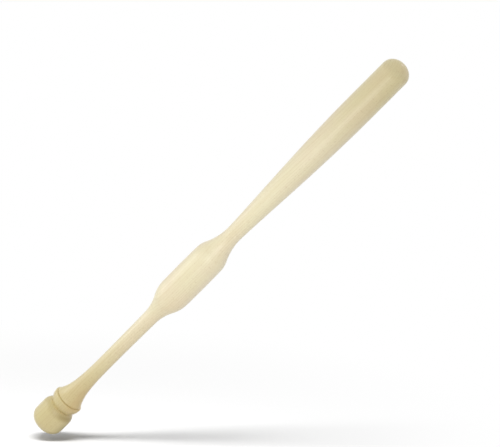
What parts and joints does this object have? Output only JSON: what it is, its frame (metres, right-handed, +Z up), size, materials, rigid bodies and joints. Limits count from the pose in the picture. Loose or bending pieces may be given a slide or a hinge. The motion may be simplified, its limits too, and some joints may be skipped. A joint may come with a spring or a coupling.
{
  "type": "baseball training bat",
  "caption": "Slim wooden batting-practice bat with a weight bulb above the grip, a turned collar and a large rounded knob.",
  "frame": {"origin": "centre of the knob's flat end face, on the bat's turning axis", "axes": "+X along the turning axis from the knob to the barrel's tip, +Z up with the bat lying level, +Y to its left"},
  "size_m": [0.8636, 0.0522, 0.0522],
  "materials": {
    "maple_body": "satin clear lacquer",
    "maple_collar": "satin clear lacquer",
    "maple_knob": "satin clear lacquer",
    "hardwood_wedge": "bare sawn wood"
  },
  "bodies": {
    "root": {"bat_body": "maple_body", "collar_ring": "maple_collar", "end_knob": "maple_knob", "tenon_wedge": "hardwood_wedge"}
  },
  "joints": []
}
